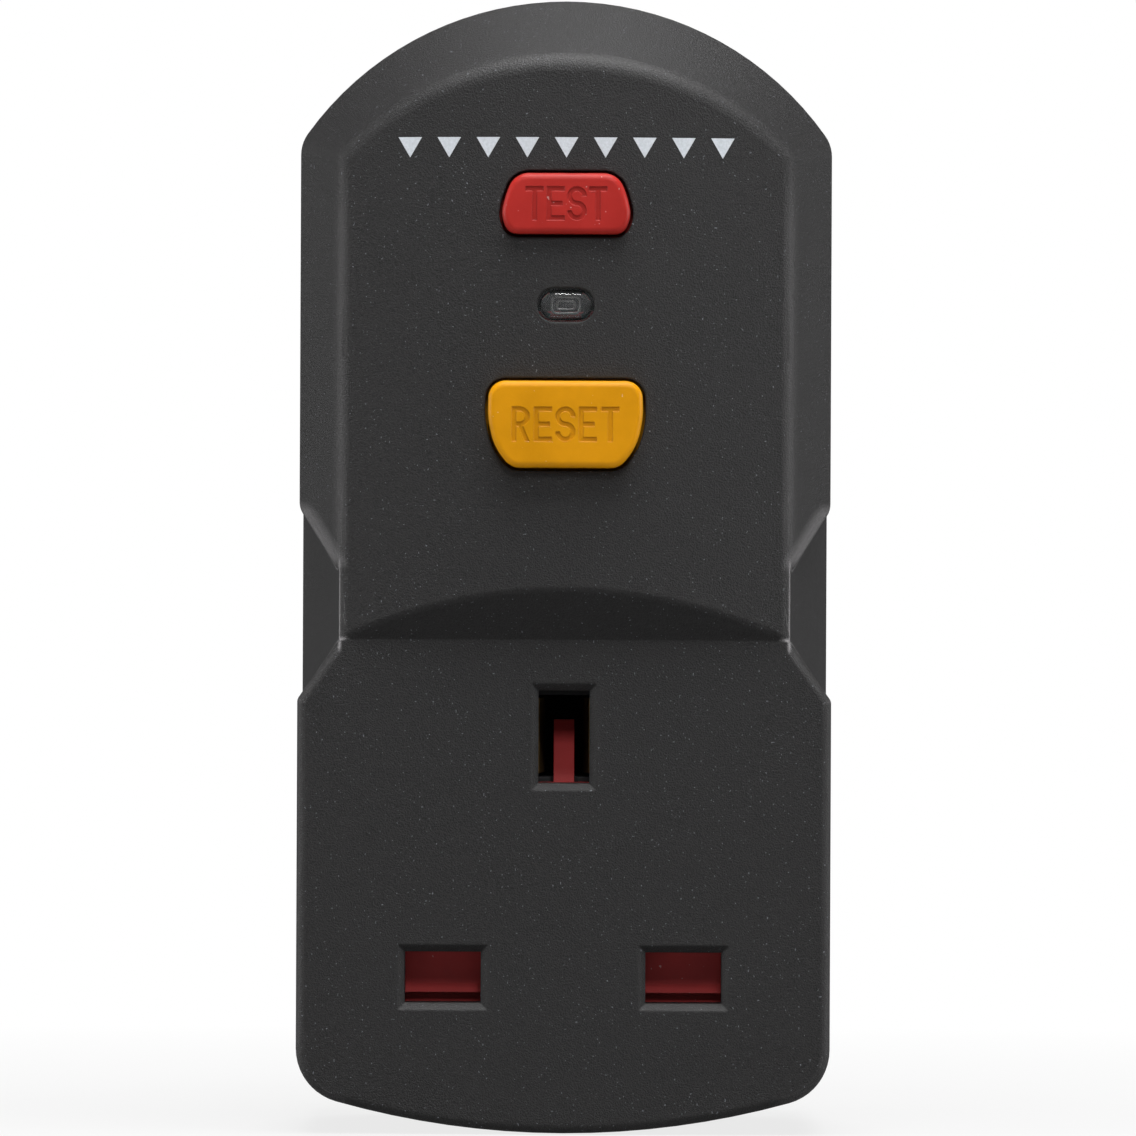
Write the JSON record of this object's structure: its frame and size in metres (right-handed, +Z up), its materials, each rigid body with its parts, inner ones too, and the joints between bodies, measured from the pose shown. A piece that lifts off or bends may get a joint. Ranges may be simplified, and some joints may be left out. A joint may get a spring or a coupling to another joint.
{
  "type": "residual current device adapter plug",
  "caption": "Black plug-in adapter with a residual current device, test and reset buttons, an indicator window and a shuttered three-pin outlet.",
  "frame": {"origin": "on the flat plug face at the back, midway between the earth pin and the line of the two lower pins", "axes": "+Z up towards the rounded top, +Y out of the plug face along the pins, +X to the right seen from the outlet side"},
  "size_m": [0.0494, 0.0705, 0.1048],
  "materials": {
    "case_plastic": "fine grained moulded black",
    "test_red": "satin moulded red",
    "reset_amber": "satin moulded amber",
    "clear_window": "clear moulded",
    "flag_red": "plain moulded red",
    "shutter_red": "satin moulded dark red",
    "spring_steel": "drawn wire",
    "screw_steel": "zinc plated",
    "tray_plastic": "moulded dark grey",
    "contact_brass": "stamped brass",
    "pin_brass": "machined brass",
    "sleeve_plastic": "moulded black",
    "copper": "stamped copper",
    "board_laminate": "coated green laminate",
    "frame_plastic": "moulded off-white",
    "ring_plastic": "coated ring",
    "winding_wire": "enamelled wire",
    "bobbin_plastic": "moulded white",
    "bare_steel": "plated sheet steel",
    "latch_plastic": "moulded natural",
    "carrier_plastic": "moulded black",
    "capacitor_yellow": "dipped",
    "capacitor_dark": "sleeved",
    "varistor_blue": "dipped",
    "chip_black": "moulded",
    "resistor_tan": "lacquered"
  },
  "bodies": {
    "case": {"front_shell": "case_plastic", "rear_cover": "case_plastic", "case_screws": "screw_steel", "indicator_lens": "clear_window", "test_button_spring": "spring_steel", "reset_button_spring": "spring_steel", "shutter_spring": "spring_steel", "contact_tray": "tray_plastic", "live_outlet_clip": "contact_brass", "neutral_outlet_clip": "contact_brass", "earth_outlet_clip": "contact_brass", "live_pin": "pin_brass", "neutral_pin": "pin_brass", "earth_pin": "pin_brass", "live_pin_sleeve": "sleeve_plastic", "neutral_pin_sleeve": "sleeve_plastic", "live_supply_strap": "copper", "neutral_supply_strap": "copper", "live_load_strap": "copper", "neutral_load_strap": "copper", "earth_bar": "contact_brass", "circuit_board": "board_laminate", "mechanism_frame": "frame_plastic", "sensing_ring": "ring_plastic", "ring_winding": "winding_wire", "coil_bobbin": "bobbin_plastic", "coil_winding": "winding_wire", "coil_yoke": "bare_steel", "latch_pin": "bare_steel", "trip_springs": "spring_steel", "test_leaf_post": "copper", "test_pad": "copper", "test_resistor": "resistor_tan", "film_capacitor": "capacitor_yellow", "round_capacitor": "capacitor_dark", "varistor": "varistor_blue", "control_chip": "chip_black", "rectifier_diodes": "chip_black"},
    "test_button": {"test_button": "test_red"},
    "reset_button": {"reset_button": "reset_amber"},
    "shutter": {"shutter": "shutter_red"},
    "contact_carrier": {"contact_carrier": "carrier_plastic", "live_contact_bridge": "copper", "neutral_contact_bridge": "copper"},
    "indicator_flag": {"indicator_flag": "flag_red"},
    "latch_lever": {"latch_lever": "latch_plastic"},
    "plunger": {"plunger": "bare_steel"},
    "test_leaf": {"test_leaf": "copper"}
  },
  "joints": [
    {"name": "test_press", "type": "slide", "parent": "case", "child": "test_button", "axis": [0, 1, 0], "range_m": [0, 0.0018], "stiffness_N_per_m": 900, "springref_m": -0.0008, "deforming": ["test_button_spring"]},
    {"name": "reset_press", "type": "slide", "parent": "case", "child": "reset_button", "axis": [0, 1, 0], "range_m": [0, 0.0026], "stiffness_N_per_m": 900, "springref_m": -0.0008, "deforming": ["reset_button_spring"]},
    {"name": "shutter_slide", "type": "slide", "parent": "case", "child": "shutter", "axis": [0, 0, -1], "range_m": [0, 0.0056], "stiffness_N_per_m": 120, "springref_m": -0.002, "deforming": ["shutter_spring"]},
    {"name": "contacts_close", "type": "slide", "parent": "case", "child": "contact_carrier", "axis": [0, -1, 0], "range_m": [0, 0.0021], "stiffness_N_per_m": 500, "springref_m": -0.0008, "deforming": ["trip_springs"]},
    {"name": "flag_rise", "type": "slide", "parent": "case", "child": "indicator_flag", "axis": [0, 0, 1], "range_m": [0, 0.0016]},
    {"name": "plunger_pull", "type": "slide", "parent": "case", "child": "plunger", "axis": [1, 0, 0], "range_m": [0, 0.0013], "stiffness_N_per_m": 300, "springref_m": -0.0008},
    {"name": "latch_trip", "type": "hinge", "parent": "case", "child": "latch_lever", "pos_m": [-0.0067, -0.027, 0.0525], "axis": [0, 0, -1], "range_deg": [0, 11.5]},
    {"name": "test_leaf_bend", "type": "hinge", "parent": "case", "child": "test_leaf", "pos_m": [0, -0.0202, 0.0696], "axis": [1, 0, 0], "range_deg": [0, 11.5]}
  ],
  "couplings": [
    {"joint": "flag_rise", "follows": "contacts_close", "ratio": 0.76189},
    {"joint": "latch_trip", "follows": "plunger_pull", "rad_per_m": 154.38},
    {"joint": "test_leaf_bend", "follows": "test_press", "rad_per_m": 111.5}
  ]
}
